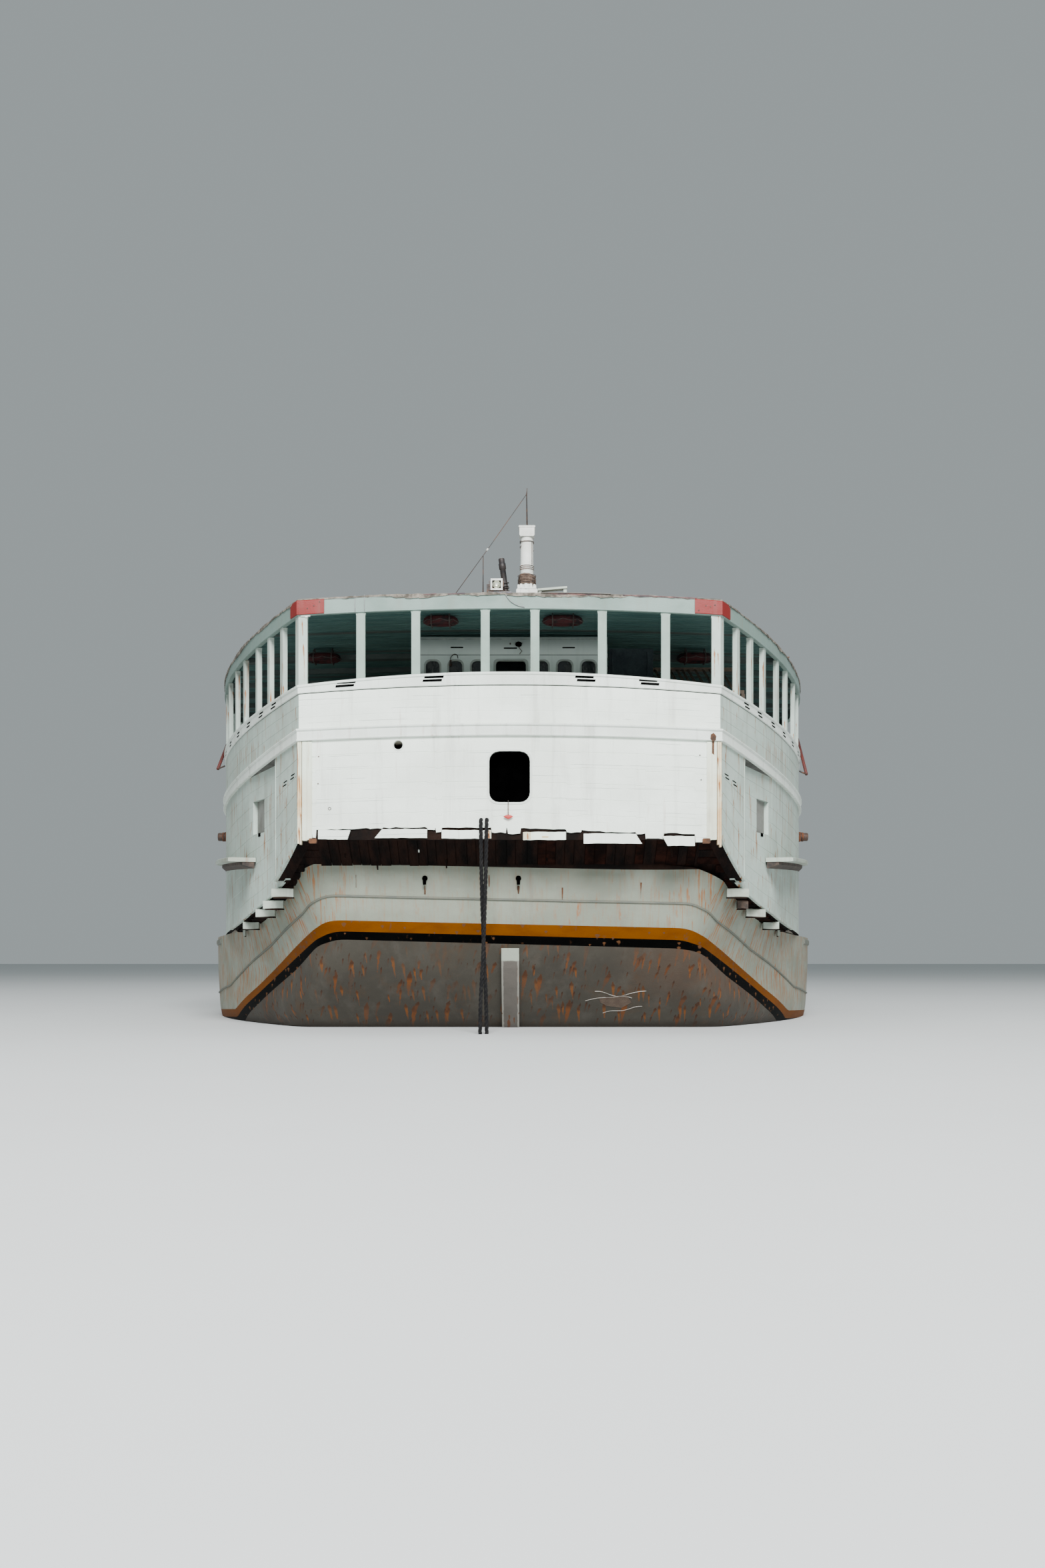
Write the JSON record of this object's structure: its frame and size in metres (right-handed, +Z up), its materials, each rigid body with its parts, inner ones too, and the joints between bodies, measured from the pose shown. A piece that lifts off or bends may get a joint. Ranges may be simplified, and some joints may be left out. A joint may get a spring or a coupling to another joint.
{
  "type": "passenger ferry",
  "caption": "White wooden inter-island passenger ferry with a square overhanging stern gallery, open upper deck under a flat roof, wheelhouse, twin screws and a rudder",
  "frame": {"origin": "amidships on the centreline at the waterline, which is the water mount", "axes": "+X to starboard, +Y forward, +Z up"},
  "size_m": [12.6, 39.247, 13.2903],
  "materials": {
    "white_paint": "weathered white paint on planking, with rust stains",
    "hull_paint": "weathered off-white hull paint with ochre and black stripes",
    "bottom_paint": "grey-mauve bottom paint, rust-streaked",
    "dark_wood": "dark bare timber under the gallery",
    "deck_paint": "worn deck paint",
    "red_foam": "faded red painted foam",
    "steel": "dark painted steel, rusting",
    "bronze": "dull bronze",
    "rope": "tarred black rope"
  },
  "bodies": {
    "root": {"hull": "hull_paint", "keel": "bottom_paint", "stern_post": "bottom_paint", "stern_wall": "white_paint", "front_wall": "white_paint", "belt": "white_paint", "stern_bulwark": "white_paint", "stern_frame": "white_paint", "roof": "white_paint", "fascia": "white_paint", "deckhouse_after_wall": "white_paint", "deckhouse_fore_wall": "white_paint", "wheelhouse": "white_paint", "wheelhouse_roof": "white_paint", "funnel": "white_paint", "foremast": "white_paint", "fore_hatch": "white_paint", "bow_bulwark": "white_paint", "stern_ledger": "white_paint", "light_post": "white_paint", "side_wall_port": "white_paint", "side_wall_starboard": "white_paint", "deckhouse_wall_port": "white_paint", "deckhouse_wall_starboard": "white_paint", "side_bulwark_port": "white_paint", "side_bulwark_starboard": "white_paint", "quarter_frame_port": "white_paint", "quarter_frame_starboard": "white_paint", "side_frame_port": "white_paint", "side_frame_starboard": "white_paint", "ledge_port": "white_paint", "ledge_starboard": "white_paint", "brackets_port": "white_paint", "brackets_starboard": "white_paint", "gallery_floor": "dark_wood", "main_deck": "deck_paint", "foredeck": "deck_paint", "upper_deck": "deck_paint", "float_port_inner": "red_foam", "float_starboard_inner": "red_foam", "float_port_outer": "red_foam", "float_starboard_outer": "red_foam", "windlass": "steel", "leaning_pipe": "steel", "floodlight": "steel", "antenna": "steel", "shaft_tube_port": "steel", "shaft_tube_starboard": "steel", "engine_port": "steel", "engine_starboard": "steel", "anchor_port": "steel", "anchor_starboard": "steel", "rope_port": "rope", "rope_starboard": "rope"},
    "rudder": {"rudder": "bottom_paint"},
    "propeller_port": {"propeller_port": "bronze"},
    "propeller_starboard": {"propeller_starboard": "bronze"},
    "wheelhouse_door_port": {"wheelhouse_door_port": "white_paint"},
    "wheelhouse_door_starboard": {"wheelhouse_door_starboard": "white_paint"},
    "fore_hatch_lid": {"fore_hatch_lid": "white_paint"}
  },
  "joints": [
    {"name": "rudder_turn", "type": "hinge", "parent": "root", "child": "rudder", "pos_m": [0, -15.8, -1.5], "axis": [0, 0, 1], "range_deg": [-35, 35]},
    {"name": "propeller_port_spin", "type": "hinge", "parent": "root", "child": "propeller_port", "pos_m": [-1.9, -14.3, -1.55], "axis": [0, 1, 0], "continuous": true},
    {"name": "propeller_starboard_spin", "type": "hinge", "parent": "root", "child": "propeller_starboard", "pos_m": [1.9, -14.3, -1.55], "axis": [0, 1, 0], "continuous": true},
    {"name": "wheelhouse_door_port_swing", "type": "hinge", "parent": "root", "child": "wheelhouse_door_port", "pos_m": [-2.6166, 8.26, 5.5], "axis": [0, 0, -1], "range_deg": [0, 100]},
    {"name": "wheelhouse_door_starboard_swing", "type": "hinge", "parent": "root", "child": "wheelhouse_door_starboard", "pos_m": [2.6166, 8.26, 5.5], "axis": [0, 0, 1], "range_deg": [0, 100]},
    {"name": "fore_hatch_lid_swing", "type": "hinge", "parent": "root", "child": "fore_hatch_lid", "pos_m": [0, 14.262, 2.5944], "axis": [-1, 0, 0], "range_deg": [0, 95]}
  ]
}
